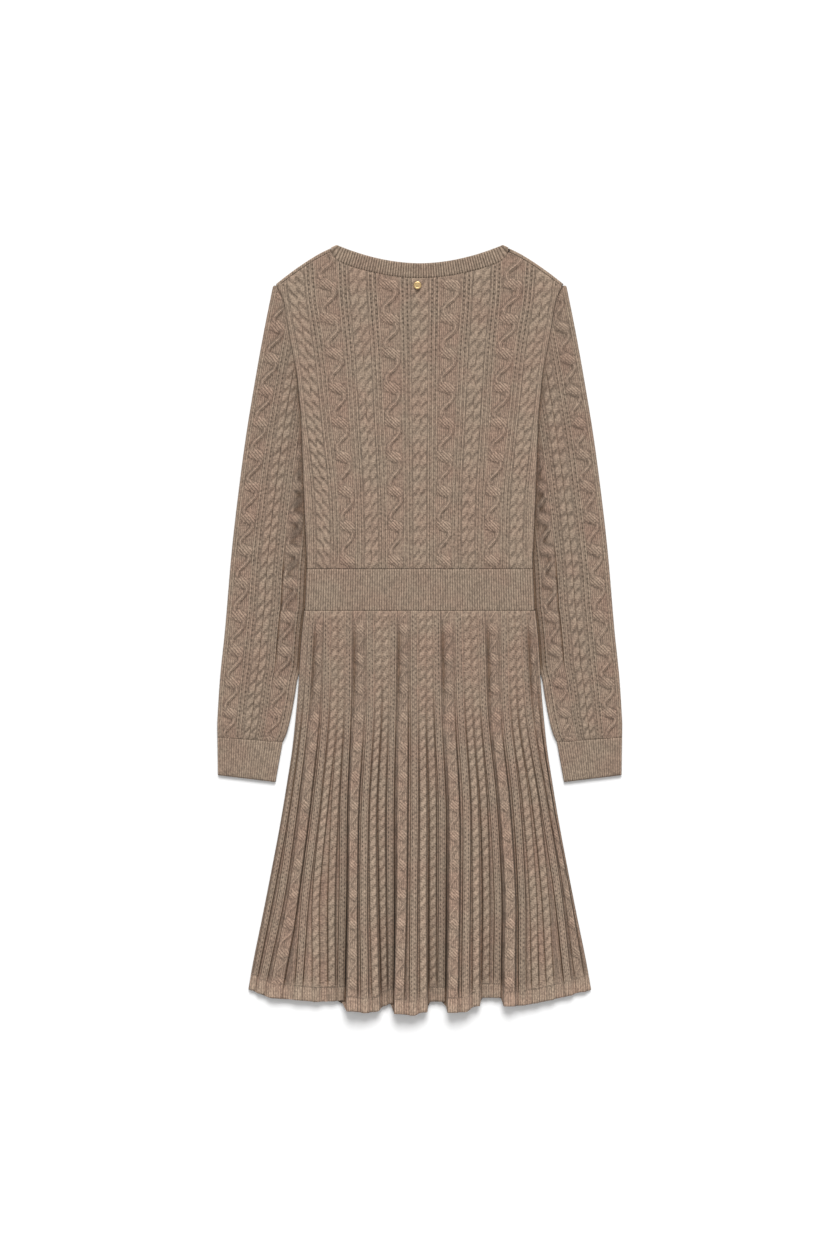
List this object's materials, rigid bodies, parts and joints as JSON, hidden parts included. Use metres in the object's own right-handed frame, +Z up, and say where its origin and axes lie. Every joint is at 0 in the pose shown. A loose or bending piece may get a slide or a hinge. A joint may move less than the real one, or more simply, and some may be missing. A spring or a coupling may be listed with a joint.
{
  "type": "sweater dress",
  "caption": "Long-sleeved sweater dress laid flat, back up: cable-knit bodice and sleeves, ribbed neckband, waistband and cuffs, flared cable-rib skirt with a wavy hem.",
  "frame": {"origin": "middle of the dress's outline, on the surface that it lies on", "axes": "+Y from the hem to the neck, +X to the right seen from above, +Z up; the dress lies on its front with its back up"},
  "size_m": [0.4692, 0.8932, 0.0199],
  "materials": {
    "cable_knit": "matt greige melange knit with raised cables",
    "fine_rib": "matt greige melange one-by-one rib",
    "gold_metal": "polished pale gold"
  },
  "bodies": {
    "root": {"bodice_back": "cable_knit", "bodice_front": "cable_knit", "sleeve_left": "cable_knit", "sleeve_right": "cable_knit", "cuff_left": "fine_rib", "cuff_right": "fine_rib", "neckband": "fine_rib", "waistband": "fine_rib", "skirt_back": "cable_knit", "skirt_front": "cable_knit", "neck_stud": "gold_metal"}
  },
  "joints": []
}
